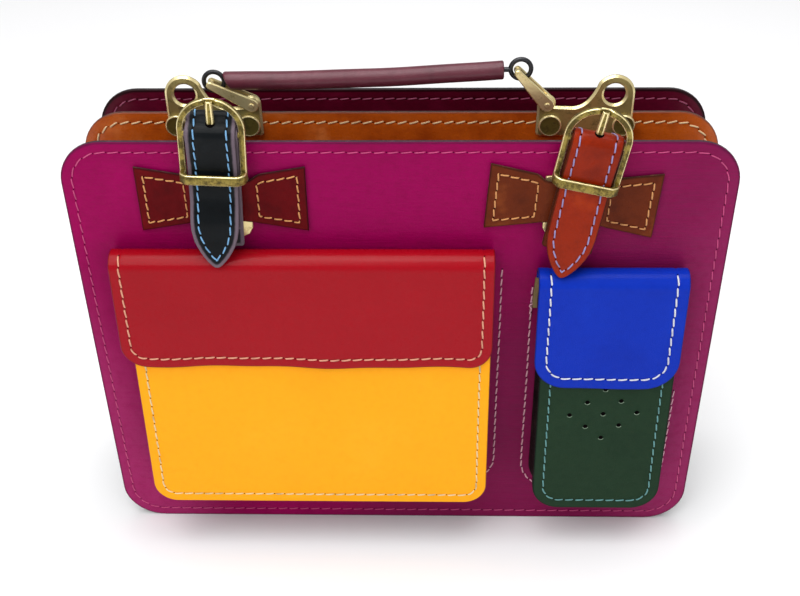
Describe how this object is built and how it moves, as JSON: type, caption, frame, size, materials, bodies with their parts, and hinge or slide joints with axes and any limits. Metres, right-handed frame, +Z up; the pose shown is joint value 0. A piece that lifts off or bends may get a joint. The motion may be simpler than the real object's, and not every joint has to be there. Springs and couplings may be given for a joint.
{
  "type": "satchel",
  "caption": "Leather satchel in panels of different colours with front pockets, buckled straps through bow-shaped loops, handle plates and a carrying handle.",
  "frame": {"origin": "on the ground under the middle of the box round the whole bag", "axes": "+X along the width, to the right when the front is seen; -Y out of the front with the pockets; +Z up"},
  "size_m": [0.37, 0.117, 0.3114],
  "materials": {
    "magenta_leather": "satin, fine line grain",
    "tan_leather": "glossy",
    "burgundy_leather": "satin",
    "dark_leather": "matt",
    "yellow_leather": "satin",
    "red_leather": "satin",
    "green_leather": "matt",
    "blue_leather": "satin",
    "maroon_leather": "satin",
    "brown_leather": "satin",
    "black_leather": "satin",
    "rust_leather": "glossy",
    "plum_leather": "glossy",
    "antique_brass": "antique, worn bright at the edges",
    "dark_steel": "satin"
  },
  "bodies": {
    "root": {"front_panel": "magenta_leather", "divider_panel": "tan_leather", "back_panel": "burgundy_leather", "front_gusset": "dark_leather", "back_gusset": "dark_leather", "large_pocket_face": "yellow_leather", "large_pocket_gusset": "dark_leather", "large_flap": "red_leather", "small_pocket_face": "green_leather", "small_pocket_gusset": "dark_leather", "small_flap": "blue_leather", "bow_left": "maroon_leather", "bow_right": "brown_leather", "strap_left": "black_leather", "chape_left": "black_leather", "tongue_left": "antique_brass", "buckle_left": "antique_brass", "prong_left": "antique_brass", "strap_right": "rust_leather", "chape_right": "rust_leather", "tongue_right": "antique_brass", "buckle_right": "antique_brass", "prong_right": "antique_brass", "handle_plate_left": "antique_brass", "handle_plate_right": "antique_brass", "rivet_left_inner": "antique_brass", "rivet_left_outer": "antique_brass", "rivet_right_inner": "antique_brass", "rivet_right_outer": "antique_brass"},
    "link_left": {"link_left": "antique_brass"},
    "link_right": {"link_right": "antique_brass"},
    "handle": {"handle_grip": "plum_leather", "handle_ring_left": "dark_steel", "handle_ring_right": "dark_steel"}
  },
  "joints": [
    {"name": "link_left_swing", "type": "hinge", "parent": "root", "child": "link_left", "pos_m": [-0.0822, 0.0067, 0.2843], "axis": [0, 1, 0], "range_deg": [0, 92]},
    {"name": "link_right_swing", "type": "hinge", "parent": "root", "child": "link_right", "pos_m": [0.0822, 0.0067, 0.2843], "axis": [0, 1, 0], "range_deg": [0, 92]},
    {"name": "handle_swing", "type": "hinge", "parent": "link_left", "child": "handle", "pos_m": [-0.10417, 0.0067, 0.29623], "axis": [0, 1, 0], "range_deg": [-88, 0]}
  ],
  "couplings": [
    {"joint": "link_right_swing", "follows": "link_left_swing", "ratio": 1},
    {"joint": "handle_swing", "follows": "link_left_swing", "ratio": -0.956}
  ]
}
